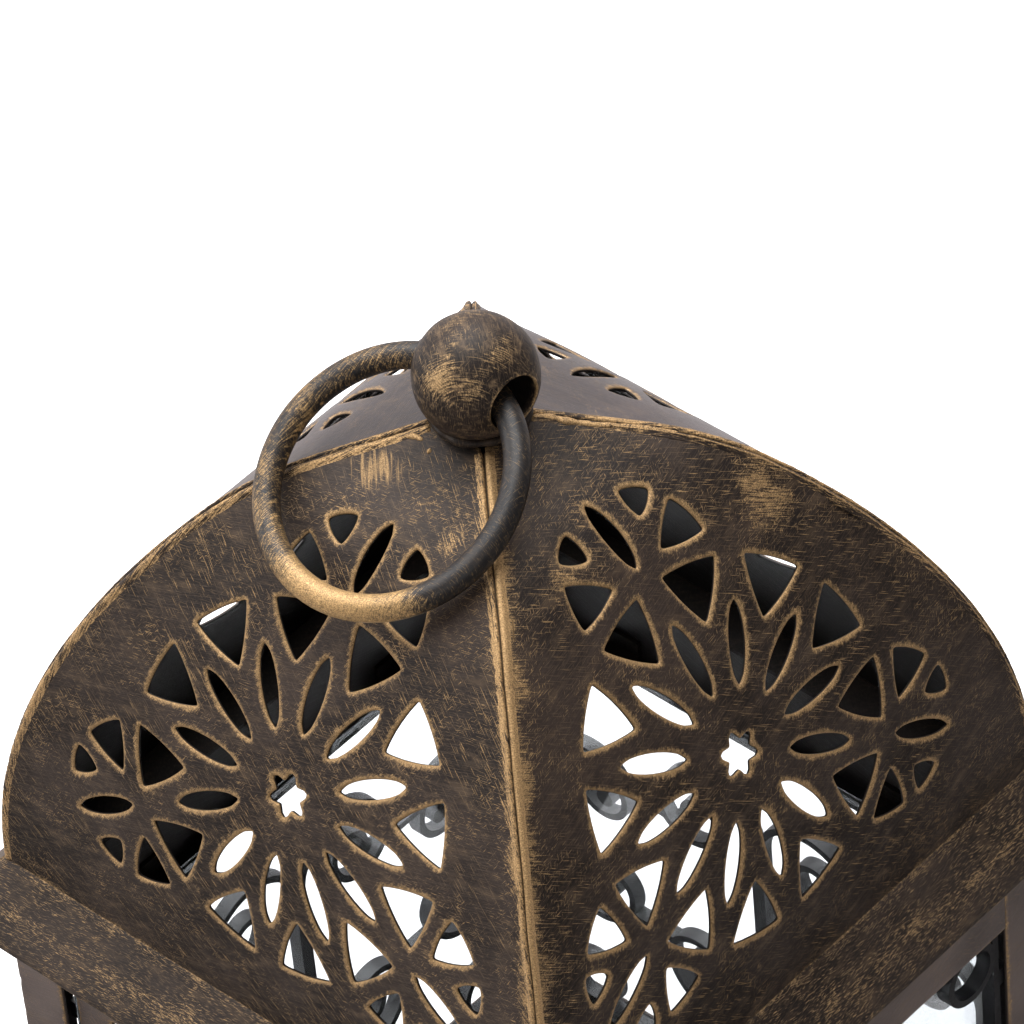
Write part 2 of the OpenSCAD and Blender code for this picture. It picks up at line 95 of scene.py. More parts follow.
# (distance from the nearest edge, spacing of the points from there on)
PIERCED_STEPS = ((0.75, 0.62), (1.7, 1.3), (4.2, 3.2))
PLAIN_STEPS = ((0.75, 0.9), (1.8, 2.0), (5, 4.0))
DOOR_STEPS = ((0.75, 0.9), (1.8, 1.8), (5, 3.0))
HEM_STEPS = ((0.75, 1.0),)
# edges are rounded over ROLL_W by up to ROLL, and the paint counts as near an edge within FADE of it
ROLL_W = 0.5
ROLL = 0.24
FADE = 3.0

# ---- Outlines and distances on the flat


def smooth_loop(points, spacing, soften):
    """Evenly spaced points round a closed outline, with its corners rounded by soften mm."""
    pts = np.array(list(points) + [points[0]], float)
    cum = np.concatenate([[0], np.cumsum(np.hypot(*np.diff(pts, axis=0).T))])
    n = max(int(round(cum[-1] / spacing)), 12)
    at = np.linspace(0, cum[-1], n, endpoint=False)
    loop = np.stack([np.interp(at, cum, pts[:, k]) for k in (0, 1)], 1)
    k = np.arange(n)
    gap = np.minimum(k, n - k) * cum[-1] / n
    weight = np.exp(-0.5 * (gap / soften) ** 2)
    spectrum = np.fft.fft(weight / weight.sum())
    return np.stack([np.fft.ifft(np.fft.fft(loop[:, c]) * spectrum).real for c in (0, 1)], 1)


def unit(vectors):
    return vectors / np.linalg.norm(vectors, axis=1)[:, None]


def signed_area(loop):
    x, y = loop.T
    return 0.5 * np.sum(x * np.roll(y, -1) - y * np.roll(x, -1))


def inside(points, loop):
    """Which points lie inside a closed loop."""
    lo, hi = loop.min(0), loop.max(0)
    found = np.zeros(len(points), bool)
    near = np.where(np.all((points > lo) & (points < hi), axis=1))[0]
    if not len(near):
        return found
    p, a, b = points[near], loop, np.roll(loop, -1, 0)
    for start in range(0, len(p), 2000):
        q = p[start:start + 2000, None, :]
        across = (a[None, :, 1] > q[..., 1]) != (b[None, :, 1] > q[..., 1])
        slope = (b[:, 0] - a[:, 0]) / np.where(b[:, 1] == a[:, 1], 1e-9, b[:, 1] - a[:, 1])
        x = a[None, :, 0] + (q[..., 1] - a[None, :, 1]) * slope[None]
        found[near[start:start + 2000]] = np.sum(across & (q[..., 0] < x), axis=1) % 2 == 1
    return found


def distance_to(loops, points, most=12.0):
    """Distance from each point to the nearest loop."""
    if not loops:
        return np.full(len(points), most)
    dense = np.concatenate([a + (np.roll(a, -1, 0) - a) * t for a in loops for t in (0, 1 / 3, 2 / 3)])
    tree = kdtree.KDTree(len(dense))
    for i, (x, y) in enumerate(dense):
        tree.insert((x, y, 0), i)
    tree.balance()
    return np.array([min(tree.find((x, y, 0))[2], most) for x, y in points])


def grid(lo, hi, step):
    """Points over a box, each row shifted by half a step."""
    x = np.arange(lo[0] + step / 2, hi[0], step)
    y = np.arange(lo[1] + step / 2, hi[1], step)
    gx, gy = np.meshgrid(x, y)
    gx = gx + np.where(np.arange(len(y)) % 2 == 0, 0.0, step / 2)[:, None]
    return np.stack([gx.ravel(), gy.ravel()], 1)


def on_sheet(points, loops):
    """Which points lie inside the first loop and in none of the others."""
    keep = inside(points, loops[0])
    for hole in loops[1:]:
        keep &= ~inside(points, hole)
    return keep


def neighbours(loops):
    """Pairs of point numbers round each loop in turn."""
    pairs, first = [], 0
    for loop in loops:
        n = len(loop)
        pairs += [(first + i, first + (i + 1) % n) for i in range(n)]
        first += n
    return pairs


def cut_pattern(outline, holes=(), creases=(), steps=PIERCED_STEPS):
    """Triangulated flat plate: fine at its edges and cut-outs, coarser away from them."""
    loops = [outline if signed_area(outline) > 0 else outline[::-1]]
    loops += [h if signed_area(h) < 0 else h[::-1] for h in holes]
    lo, hi = outline.min(0), outline.max(0)
    rows, inset = [], []
    for loop in loops:
        along = np.roll(loop, -1, 0) - np.roll(loop, 1, 0)
        normal = unit(np.stack([-along[:, 1], along[:, 0]], 1))
        for depth in EDGE_ROWS:
            rows.append(loop + normal * depth)
            inset.append(np.full(len(loop), depth))
    rows, inset = np.concatenate(rows), np.concatenate(inset)
    # a row that has crowded in from another edge is left out
    chosen = [rows[distance_to(loops, rows) > inset * 0.85]]
    for k, (start, step) in enumerate(steps):
        spots = grid(lo, hi, step)
        far = distance_to(loops, spots)
        end = steps[k + 1][0] if k + 1 < len(steps) else 1e9
        chosen.append(spots[(far >= start) & (far < end)])
    for crease in creases:
        crease = np.array(crease, float)
        far = distance_to(loops, crease)
        chosen.append(crease[far > CREASE_CLEAR])
    extra = np.concatenate(chosen)
    points = np.concatenate(loops + [extra[on_sheet(extra, loops)]])
    made = delaunay_2d_cdt([Vector(p) for p in points], neighbours(loops), [], 0, 1e-5)
    back = [o[0] if o else -1 for o in made[3]]
    tris = np.array([[back[i] for i in f] for f in made[2] if len(f) == 3])
    tris = tris[(tris >= 0).all(1)]
    return {
        "points": points, "tris": tris[on_sheet(points[tris].mean(1), loops)], "loops": loops,
        "hole_d": distance_to(loops[1:], points), "edge_d": distance_to(loops[:1], points),
    }


def bend_line(points, soften):
    """Profile line with softened folds: a lookup from length along it to place and normal."""
    pts = np.array(points, float)
    cum = np.concatenate([[0], np.cumsum(np.hypot(*np.diff(pts, axis=0).T))])
    step = 0.05
    pad = int(4 * soften / step) + 1
    s = np.arange(-pad, int(cum[-1] / step) + pad + 2) * step
    line = np.stack([np.interp(s, cum, pts[:, k]) for k in (0, 1)], 1)
    first, last = pts[1] - pts[0], pts[-1] - pts[-2]
    line[s < 0] = pts[0] + np.outer(s[s < 0], first / np.linalg.norm(first))
    line[s > cum[-1]] = pts[-1] + np.outer(s[s > cum[-1]] - cum[-1], last / np.linalg.norm(last))
    if soften > 0:
        k = np.arange(-pad, pad + 1) * step
        weight = np.exp(-0.5 * (k / soften) ** 2)
        weight /= weight.sum()
        padded = [np.pad(line[:, c], pad, "reflect", reflect_type="odd") for c in (0, 1)]
        line = np.stack([np.convolve(values, weight, "valid") for values in padded], 1)
    along = unit(np.gradient(line, axis=0))
    normal = np.stack([along[:, 1], -along[:, 0]], 1)

    def at(length):
        place = np.stack([np.interp(length, s, line[:, k]) for k in (0, 1)], 1)
        facing = np.stack([np.interp(length, s, normal[:, k]) for k in (0, 1)], 1)
        return place, unit(facing)

    at.length = cum[-1]
    return at


def turned(points, turn):
    """Points turned about the Z axis by a number of degrees."""
    c, s = math.cos(math.radians(turn)), math.sin(math.radians(turn))
    return points @ np.array([[c, s, 0], [-s, c, 0], [0, 0, 1]])


def wave(points, seed, size):
    """Smooth low bumps, mostly in -1..1, from sines at uneven angles."""
    rng = np.random.default_rng(seed)
    total = np.zeros(len(points))
    for _ in range(7):
        direction = rng.normal(size=points.shape[1])
        direction *= rng.uniform(0.5, 1.6) / (np.linalg.norm(direction) * size)
        total += np.sin(points @ direction * 2 * math.pi + rng.uniform(0, 6.28))
    return total / 4


# ---- Meshes


class Shells:
    """Closed shells gathered into one object, with wear and painted shade stored on their points: near an edge,
    rubbed, in painted shade, swept by a brush, and the place on the flat sheet that the paint is laid out by."""

    def __init__(self):
        self.points, self.faces, self.wear, self.count = [], [], [], 0

    def add(self, points, faces, near=0.0, rub=0.0, painted_shade=0.0, swept=0.0, sheet=None):
        n = len(points)
        self.points.append(points)
        self.faces += [[self.count + i for i in f] for f in faces]
        sheet = points if sheet is None else sheet
        self.wear.append(np.column_stack([np.broadcast_to(near, n), np.broadcast_to(rub, n),
                                          np.broadcast_to(painted_shade, n), np.broadcast_to(swept, n), sheet]))
        self.count += n

    def make(self, name, material, body, replaced):
        mesh = bpy.data.meshes.new(name)
        mesh.from_pydata((np.concatenate(self.points) * MM).tolist(), [], self.faces)
        bm = bmesh.new()
        bm.from_mesh(mesh)
        bmesh.ops.recalc_face_normals(bm, faces=bm.faces)
        bm.to_mesh(mesh)
        bm.free()
        wear = np.concatenate(self.wear).astype(np.float32)
        for k, key in enumerate(("near", "rub", "painted_shade", "swept")):
            mesh.attributes.new(key, "FLOAT", "POINT").data.foreach_set("value", wear[:, k].copy())
        mesh.attributes.new("sheet", "FLOAT_VECTOR", "POINT").data.foreach_set("vector", wear[:, 4:].ravel())
        mesh.shade_smooth()
        obj = bpy.data.objects.new(name, mesh)
        bpy.context.scene.collection.objects.link(obj)
        mesh.materials.append(material)
        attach(obj, body)
        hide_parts(*replaced)
        return obj


def add_plate(shells, flat, place, thick, seed, rub=0.0, near=None, painted_shade=0.0, swept=0.0):
    """Plate cut from a flat pattern: two skins with rolled edges, and the walls between them."""
    pts = flat["points"]
    n = len(pts)
    edge = np.minimum(flat["hole_d"], flat["edge_d"])
    roll = ROLL * (1 - np.clip(edge / ROLL_W, 0, 1)) ** 2
    skins = np.concatenate([place(pts, roll), place(pts, thick - 0.5 * roll)])
    tris = flat["tris"]
    walls = [(a, b, n + b, n + a) for a, b in neighbours(flat["loops"])]
    faces = tris.tolist() + (tris[:, ::-1] + n).tolist() + walls
    near = 1 - np.clip(edge / FADE, 0, 1) if near is None else near
    sheet = np.column_stack([pts, np.full(n, seed * 37.0)])

    def both(outer, inner):
        return np.concatenate([np.broadcast_to(outer, n), np.full(n, inner)])

    # the inner skin is in full painted shade: near black, with no gold
    shells.add(skins, faces, both(near, 0.0), both(rub, 0.0), both(painted_shade, 1.0), both(swept, 0.0),
               np.concatenate([sheet, sheet + [300, 0, 0]]))


def side_place(bend, turn, gap=None):
    """Lays a flat pattern along one side of the lantern: across it, and up its profile line.
    With a gap, its ends stay that far from the diagonals between the sides."""
    def place(pts, depth):
        spot, facing = bend(pts[:, 1])
        out = spot - facing * depth[:, None]
        x = pts[:, 0]
        if gap is not None:
            reach = out[:, 0] - gap
            x = np.clip(x, -reach, reach)
        return turned(np.column_stack([x, -out[:, 0], out[:, 1]]), turn)
    return place


def add_lathe(shells, profile, origin, axis, across, segments, near=0.0, rub=0.0, bump=None, painted_shade=0.0):
    """Turned body: a closed (radius, height) profile swept round an axis."""
    profile = np.array(profile, float)
    axis, across = np.array(axis, float), np.array(across, float)
    third = np.cross(axis, across)
    m, n = len(profile), segments
    a = np.arange(n) * 2 * math.pi / n
    ring = np.outer(np.cos(a), across) + np.outer(np.sin(a), third)
    pts = (profile[None, :, 0, None] * ring[:, None, :] + profile[None, :, 1, None] * axis).reshape(-1, 3)
    turn = np.repeat(a, m)
    pts = pts + np.array(origin, float)
    if bump is not None:
        pts = pts + bump(pts, turn)
    faces = []
    for i in range(n):
        j = (i + 1) % n
        for k in range(m):
            above = (k + 1) % m
            faces.append((i * m + k, j * m + k, j * m + above, i * m + above))
    rub = rub(pts, turn) if callable(rub) else rub
    shells.add(pts, faces, np.tile(np.broadcast_to(near, m), n), rub, np.tile(np.broadcast_to(painted_shade, m), n))


# ---- Materials


class Nodes:
    """Node builder for one shader tree."""

    def __init__(self, tree):
        self.tree = tree

    def node(self, kind, inputs=(), **settings):
        node = self.tree.nodes.new("ShaderNode" + kind)
        for key, value in settings.items():
            setattr(node, key, value)
        for key, value in dict(inputs).items():
            self.put(node.inputs[key], value)
        return node

    def put(self, socket, value):
        if isinstance(value, bpy.types.NodeSocket):
            self.tree.links.new(value, socket)
        else:
            socket.default_value = value

    def math(self, operation, a, b=0.0, clamp=False):
        node = self.node("Math", {0: a, 1: b}, operation=operation)
        node.use_clamp = clamp
        return node.outputs[0]

    def step(self, value, low, high, bottom=0.0, top=1.0):
        """Smooth step from bottom at low to top at high."""
        names = {"Value": value, "From Min": low, "From Max": high, "To Min": bottom, "To Max": top}
        return self.node("MapRange", names, interpolation_type="SMOOTHSTEP").outputs[0]

    def noise(self, vector, scale, detail=2.0, roughness=0.5):
        names = {"Vector": vector, "Scale": scale, "Detail": detail, "Roughness": roughness}
        return self.node("TexNoise", names).outputs["Fac"]

    def streaks(self, vector, angle, long, thin, seed, detail=1.0):
        """Noise drawn out along one direction of the sheet, in mm."""
        names = {"Vector": vector, "Location": (seed, seed * 0.7, seed * 0.3),
                 "Rotation": (0, 0, math.radians(angle)), "Scale": (long, thin, 1.0)}
        mapped = self.node("Mapping", names, vector_type="TEXTURE").outputs[0]
        return self.noise(mapped, 1.0, detail, 0.6)

    def mix(self, share, a, b):
        node = self.node("Mix", data_type="RGBA")
        self.put(node.inputs[0], share)
        self.put(node.inputs[6], a)
        self.put(node.inputs[7], b)
        return node.outputs[2]



class Paint(Nodes):
    """Node builder for one material."""

    def __init__(self, name):
        self.material = bpy.data.materials.new(name)
        self.material.use_nodes = True
        super().__init__(self.material.node_tree)
        self.shader = self.tree.nodes["Principled BSDF"]

    def attribute(self, name, output="Fac"):
        return self.node("Attribute", attribute_name=name).outputs[output]

    def set(self, name, value):
        self.put(self.shader.inputs[name], value)

    def bump(self, height, strength, distance):
        names = {"Height": height, "Strength": strength, "Distance": distance}
        self.set("Normal", self.node("Bump", names).outputs[0])


def wall_vector(paint):
    """Coordinates in mm that run along any upright wall and up it."""
    place = paint.node("TexCoord").outputs["Object"]
    parts = paint.node("SeparateXYZ", {0: place}).outputs
    along = paint.math("MULTIPLY", paint.math("ADD", parts[0], parts[1]), 1000.0)
    across = paint.math("MULTIPLY", paint.math("SUBTRACT", parts[0], parts[1]), 1000.0)
    up = paint.math("MULTIPLY", parts[2], 1000.0)
    return paint.node("CombineXYZ", {0: along, 1: up, 2: across}).outputs[0]


# near black of the painted shade
SHADE_BLACK = (0.0035, 0.0030, 0.0028, 1)
SMUDGE = (0.110, 0.073, 0.043, 1)
FAINT_SCRATCH = (0.095, 0.068, 0.046, 1)


def bronze(name, dark=(0.0100, 0.0074, 0.0065, 1), brown=(0.027, 0.0193, 0.0160, 1),
           gold=(0.31, 0.198, 0.094, 1), halo=0.70, ticks=0.9, rubbed=1.0, angles=(10, -36, 63),
           lengths=(1.5, 2.4, 1.2), rough=0.50, shine=0.14, cad=False, soft=0.2, faint=0.42, smears=0.34):
    """Near-black paint over sheet, dry-brushed with gold at edges, ridges and scratches.

    halo is how close to an edge the gold starts (higher is closer), ticks and faint the strength of the
    gold and the dull scratches, rubbed how far rub turns into gold and soft how gently, smears the
    brown smudges. cad is for meshes without wear on their points: a bevel finds their edges instead."""
    p = Paint(name)
    where = wall_vector(p) if cad else p.attribute("sheet", "Vector")
    if cad:
        rounded = p.node("Bevel", {"Radius": 1.1 * MM}, samples=6).outputs[0]
        flat = p.node("NewGeometry").outputs["Normal"]
        same = p.node("VectorMath", {0: rounded, 1: flat}, operation="DOT_PRODUCT").outputs["Value"]
        near = p.step(same, 1.0, 0.80, 0.35, 0.95)
    else:
        near = p.attribute("near")
    rub, painted_shade, swept = p.attribute("rub"), p.attribute("painted_shade"), p.attribute("swept")
    fine = p.noise(where, 1.7, 4.0, 0.68)
    grain = p.noise(where, 5.0, 2.0, 0.6)
    broad = p.noise(where, 0.055, 3.0, 0.55)
    patch = p.noise(where, 0.16, 4.0, 0.62)
    smudge = p.streaks(where, angles[0], 5.5, 2.2, 47.0, 4.0)
    first = p.streaks(where, angles[0], lengths[0], 0.13, 3.0, 0.6)
    second = p.streaks(where, angles[1], lengths[1], 0.12, 11.0, 0.4)
    third = p.streaks(where, angles[2], lengths[2], 0.12, 23.0, 0.4)
    hair = p.streaks(where, angles[0] + 9, 9.0, 0.11, 31.0, 0.0)
    brush = p.streaks(where, 130, 9.0, 0.6, 53.0, 2.0)

    def spread_by(value, amount):
        return p.math("MULTIPLY", p.math("SUBTRACT", value, 0.5), amount)

    def times(a, b):
        return p.math("MULTIPLY", a, b)

    edge = p.math("ADD", p.math("ADD", near, spread_by(fine, 0.55)),
                  p.math("ADD", spread_by(third, 0.28), spread_by(patch, 0.45)))
    rim = times(p.step(edge, halo, halo + 0.24), p.step(grain, 0.2, 0.5, 0.75, 1.0))

    # each direction of scratches gathers in its own places
    lean = p.math("ADD", patch, times(rub, 0.25))
    here = p.step(lean, 0.44, 0.66, 0.14, 1.0)
    there = p.step(broad, 0.56, 0.40, 0.15, 1.0)
    scratched = times(p.step(first, 0.645, 0.715), here)
    scratched = p.math("MAXIMUM", scratched, times(p.step(second, 0.665, 0.735), there))
    scratched = p.math("MAXIMUM", scratched, times(p.step(third, 0.67, 0.735), here))
    specks = times(p.step(grain, 0.66, 0.76), p.step(lean, 0.48, 0.68, 0.0, 0.8))
    scratched = times(p.math("MAXIMUM", scratched, specks), ticks)

    brushed = p.math("ADD", p.math("ADD", times(second, 0.55), times(first, 0.15)), times(fine, 0.3))
    brushed = p.math("ADD", brushed, p.math("ADD", spread_by(patch, 0.6), spread_by(grain, 0.25)))
    brushed = p.math("ADD", brushed, spread_by(rub, 0.62 * rubbed))
    worn = times(p.step(brushed, 0.52, 0.52 + soft), p.step(rub, 0.02, 0.25))
    stroke = p.step(p.math("ADD", brush, spread_by(swept, 0.5)), 0.56, 0.78)
    stroke = times(stroke, p.step(swept, 0.02, 0.3, 0.0, 0.85))

    metal = p.math("MAXIMUM", p.math("MAXIMUM", rim, worn), p.math("MAXIMUM", scratched, stroke))
    # painted shade: the shade mark takes the gold away
    metal = p.math("MULTIPLY", metal, p.math("SUBTRACT", 1.0, times(painted_shade, 0.92)), clamp=True)
    # dull scratches that don't go through to gold
    ghost = p.math("MAXIMUM", p.step(first, 0.52, 0.70), times(p.step(second, 0.55, 0.72), 0.8))
    ghost = times(p.math("ADD", ghost, times(p.step(hair, 0.5, 0.75), 0.7)), faint)
    under = p.mix(p.step(broad, 0.35, 0.68), dark, brown)
    under = p.mix(times(p.step(smudge, 0.50, 0.74), smears), under, SMUDGE)
    under = p.mix(p.math("MULTIPLY", ghost, 0.55, clamp=True), under, FAINT_SCRATCH)
    bright = tuple(min(c * 1.45, 1) for c in gold[:3]) + (1,)
    deep = tuple(c * 0.5 for c in gold[:3]) + (1,)
    over = p.mix(p.step(grain, 0.34, 0.66), deep, p.mix(p.step(fine, 0.45, 0.7), gold, bright))
    colour = p.mix(metal, under, over)
    # painted shade: the colour goes to near black by the shade mark
    p.set("Base Color", p.mix(times(painted_shade, 0.9), colour, SHADE_BLACK))
    p.set("Metallic", times(metal, 0.35))
    p.set("Roughness", p.math("ADD", p.math("ADD", spread_by(fine, 0.25), rough), times(metal, 0.06)))
    p.set("Specular IOR Level", shine)
    height = p.math("ADD", times(fine, 0.6), times(grain, 0.25))
    height = p.math("SUBTRACT", height, times(p.step(hair, 0.55, 0.75), 0.3))
    p.bump(p.math("ADD", height, times(metal, 0.5)), 0.5, 0.07 * MM)
    return p.material


def iron(name):
    """Black lacquered scroll strip."""
    p = Paint(name)
    where = wall_vector(p)
    fine = p.noise(where, 1.3, 3.0, 0.6)
    broad = p.noise(where, 0.12, 2.0, 0.5)
    lacquer, greyed = (0.0035, 0.004, 0.005, 1), (0.009, 0.010, 0.012, 1)
    p.set("Base Color", p.mix(p.step(broad, 0.35, 0.7), lacquer, greyed))
    p.set("Roughness", p.math("ADD", p.math("MULTIPLY", fine, 0.3), 0.28))
    p.bump(fine, 0.5, 0.08 * MM)
    return p.material


def pane(name):
    """Clear window glass with slight waviness and dust."""
    p = Paint(name)
    where = wall_vector(p)
    ripple = p.noise(where, 0.03, 2.0, 0.5)
    dust = p.noise(where, 0.9, 4.0, 0.7)
    clear, dusty = (0.93, 0.96, 0.98, 1), (0.88, 0.92, 0.95, 1)
    p.set("Base Color", p.mix(p.step(dust, 0.3, 0.8), clear, dusty))
    p.set("Roughness", p.step(dust, 0.5, 0.85, 0.0, 0.06))
    # a thin film of grime keeps a little light back, so what lies behind looks greyer
    p.set("Transmission Weight", p.step(dust, 0.2, 0.8, 0.92, 0.86))
    p.set("IOR", 1.45)
    p.bump(ripple, 0.25, 1.0 * MM)
    return p.material


panel_paint = bronze("panel_bronze")
# rear and left panels: glossier bronze, with its dark and brown made lighter and lavender as a painted sheen of
# their grazing reflection
rear_paint_sheen = bronze(
    "rear_bronze_sheen", ticks=0.25, faint=0.25, smears=0.25, rough=0.34, shine=0.55, halo=0.78,
    dark=(0.014, 0.0105, 0.0115, 1), brown=(0.029, 0.021, 0.0215, 1))
band_paint = bronze(
    "band_bronze", ticks=1.0, angles=(3, -9, 14), lengths=(1.3, 1.0, 1.6), halo=0.84, smears=0.35,
    gold=(0.33, 0.215, 0.108, 1), dark=(0.0120, 0.0092, 0.0082, 1), brown=(0.030, 0.0225, 0.0190, 1))
# posts, rails and door: the same bronze made several times lighter, painted light on their upright faces
frame_paint_lit = bronze(
    "frame_bronze_lit", ticks=0.45, halo=0.77, rough=0.42, faint=0.3, smears=0.35, shine=0.3,
    dark=(0.052, 0.039, 0.035, 1), brown=(0.090, 0.067, 0.058, 1))
cad_paint = bronze("fitting_bronze", cad=True, halo=0.76, ticks=0.35)
# parts inside the lantern: a darker copy of the bronze with dull gold, painted shade
inner_paint_shaded = bronze(
    "inner_bronze_shaded", cad=True, halo=0.93, ticks=0.05, smears=0.1, faint=0.1, gold=(0.08, 0.055, 0.03, 1),
    dark=(0.006, 0.005, 0.0045, 1), brown=(0.012, 0.009, 0.008, 1))
ball_paint = bronze(
    "ball_bronze", ticks=0.35, rubbed=0.9, angles=(-40, 35, 80), soft=0.30, halo=0.80, rough=0.46,
    smears=0.9, faint=0.5, gold=(0.36, 0.235, 0.115, 1))
ring_paint = bronze(
    "ring_bronze", ticks=0.25, angles=(5, 80, -15), rough=0.42, shine=0.30, soft=0.34,
    dark=(0.0060, 0.0063, 0.0075, 1), brown=(0.0115, 0.0100, 0.0095, 1), gold=(0.40, 0.252, 0.108, 1),
    faint=0.12, smears=0.1)
seam_paint = bronze(
    "seam_bronze", ticks=0.6, rubbed=1.2, angles=(80, -75, 88), gold=(0.42, 0.268, 0.126, 1))
iron_paint = iron("scroll_iron")
glass_paint = pane("pane_glass")

# ---- Dome panels

LOWER_LEN = DOME_R * DOME_ARC
SHOULDER_LEN = SHOULDER_R * (SHOULDER_END - DOME_ARC)
LOWER_C = np.array([DOME_HALF - DOME_R, DOME_BASE])
SHOULDER_C = LOWER_C + (DOME_R - SHOULDER_R) * np.array([math.cos(DOME_ARC), math.sin(DOME_ARC)])
SHOULDER_TIP = SHOULDER_C + SHOULDER_R * np.array([math.cos(SHOULDER_END), math.sin(SHOULDER_END)])
SHEET_LEN = LOWER_LEN + SHOULDER_LEN + (SHOULDER_TIP[0] - TIP_HALF) / math.sin(SHOULDER_END)


def dome_line(s):
    """Place and outward normal of the dome sheet, as (outward, up), at lengths along it from its base."""
    s = np.asarray(s, float)
    a = np.clip(s / DOME_R, 0, DOME_ARC)
    a = np.where(s > LOWER_LEN, DOME_ARC + np.clip((s - LOWER_LEN) / SHOULDER_R, 0, SHOULDER_END - DOME_ARC), a)
    normal = np.stack([np.cos(a), np.sin(a)], 1)
    place = np.where((s > LOWER_LEN)[:, None], SHOULDER_C + SHOULDER_R * normal, LOWER_C + DOME_R * normal)
    past = np.clip(s - LOWER_LEN - SHOULDER_LEN, 0, None)[:, None]
    place = place + past * np.array([-math.sin(SHOULDER_END), math.cos(SHOULDER_END)])
    return place + np.minimum(s, 0)[:, None] * np.array([0, 1.0]), normal


def polar(r, angle):
    return np.array([r * math.cos(math.radians(angle)), r * math.sin(math.radians(angle))])


def bowed(corners, bow, blunt=1.0, steps=8):
    """Closed outline through corners, each side bowed outwards; below 1, blunt makes its ends rounder."""
    points = []
    for p, q in zip(corners, corners[1:] + corners[:1]):
        side = q - p
        normal = np.array([side[1], -side[0]]) / np.linalg.norm(side)
        points += [p + side * t + normal * bow * (4 * t * (1 - t)) ** blunt for t in np.arange(steps) / steps]
    return points


# corners of a small flower's two leaves on one side, as radius and turn about the flower's foot
FLOWER_LEAVES = (((0.176, 35.5), (0.255, 23.7), (0.257, 43.5)), ((0.103, 65), (0.247, 57.5), (0.237, 88)))
PETAL_BOW = 0.0275
FLOWER_BOW = 0.0265
LEAF_BOW = 0.008
BLUNT = 0.62


def rosette():
    """Outlines of the pierced rosette, at radius 1: star, petals, outer leaves and three small flowers."""
    cuts = [[polar(0.0535 + 0.0125 * math.cos(math.radians(60 * i)), 90 + 10 * i) for i in range(36)]]
    for a in range(0, 360, 30):
        cuts.append(bowed([polar(0.178, a), polar(0.41, a)], PETAL_BOW, BLUNT))
    for a in range(15, 375, 30):
        cuts.append(bowed([polar(0.362, a), polar(0.526, a - 9.8), polar(0.526, a + 9.8)], LEAF_BOW))
    for angle in (90, 210, 330):
        foot = polar(0.54, angle)
        cuts.append(bowed([polar(0.582, angle), polar(0.802, angle)], FLOWER_BOW, BLUNT))
        for way in (-1, 1):
            for leaf in FLOWER_LEAVES:
                corners = [foot + polar(r, angle + way * turn) for r, turn in leaf]
                cuts.append(bowed(corners if way > 0 else corners[::-1], LEAF_BOW))
    return cuts


SEAM_GAP = 0.42


def dome_outline():
    """Outline of one flat dome panel, with a slight gap left at the ridges."""
    s = np.linspace(-FRAME_DROP, SHEET_LEN, 260)
    half = dome_line(s)[0][:, 0] - SEAM_GAP
    right = np.column_stack([half, s])
    return np.concatenate([right, np.column_stack([-half, s])[::-1]])


star, *leaves = [np.array(cut) * ROSETTE_R + [0, STAR_S] for cut in rosette()]
dome_cuts = [smooth_loop(star, 0.25, 0.10)] + [smooth_loop(leaf, 0.45, 0.34) for leaf in leaves]
dome_flat = cut_pattern(smooth_loop(dome_outline(), 0.5, 0.2), dome_cuts)
# what the wear of a panel goes by: its points, and how far each is from the ridge and the base
spots = dome_flat["points"]
to_ridge = dome_line(spots[:, 1])[0][:, 0] - np.abs(spots[:, 0])
from_base = np.clip(spots[:, 1], 0, None)


def spread(distance, reach):
    """1 at no distance, falling to 0 at reach."""
    return np.clip(1 - distance / reach, 0, 1)


def bell(value, centre, width):
    return np.exp(-((value - centre) / width) ** 2)


def far_sag(s):
    """How far the sheets settle inwards along the ridge behind the ball."""
    return 1.25 * bell(s, 62, 17)


def patch_of(u, s, size_u, size_s, most=1.0):
    """Soft patch of wear on the flat dome sheet."""
    return most * np.exp(-((spots[:, 0] - u) / size_u) ** 2 - ((spots[:, 1] - s) / size_s) ** 2)


def dome_place(side, turn):
    """Lays a flat pattern on one dome panel, with soft waves, a sag at the far ridge and one dent."""
    base, seed = side_place(dome_line, turn, SEAM_GAP), 3 + turn // 90
    way = {"rear": 1, "left": -1}.get(side, 0)

    def place(pts, depth):
        half = dome_line(pts[:, 1])[0][:, 0]
        calm = np.clip((half - np.abs(pts[:, 0])) / 6, 0, 1)
        far = bell(np.clip(half - way * pts[:, 0], 0, None), 0, 16) if way else 0.0
        bumps = 0.10 * calm * (wave(pts, seed, 30.0) + 0.8)
        if side == "right":
            bumps = bumps + 0.55 * bell(pts[:, 0], 34.5, 3.0) * bell(pts[:, 1], 60.2, 2.2)
        return base(pts, depth + bumps + far * far_sag(pts[:, 1]))
    return place


# where the panels are rubbed: across, up the sheet, half width, half height, how much
RUBBED = {
    "front": ((9.5, 88.0, 4.0, 6.0, 0.62),),
    "right": ((-11.0, 80.0, 6.0, 8.0, 0.62), (25.0, 70.0, 9.0, 8.0, 0.72), (-2.0, 84.0, 5.0, 9.0, 0.45)),
}
# at the tip of the front panel: a painted shadow under the ball, and brush strokes to the left of it
SHADOW_UNDER_BALL = (3.0, 100.6, 2.4, 0.9)
BRUSHED = (-7.3, 91.5, 5.0, 5.0)
# the panels beside the front ridge: which half of each it runs along, and how far it's rubbed from there
FRONT_RIDGE = {"front": (1, 5.0), "right": (-1, 8.0)}
TIP_RUB = {"front": 0.34, "right": 0.12, "rear": 0.34, "left": 0.34}

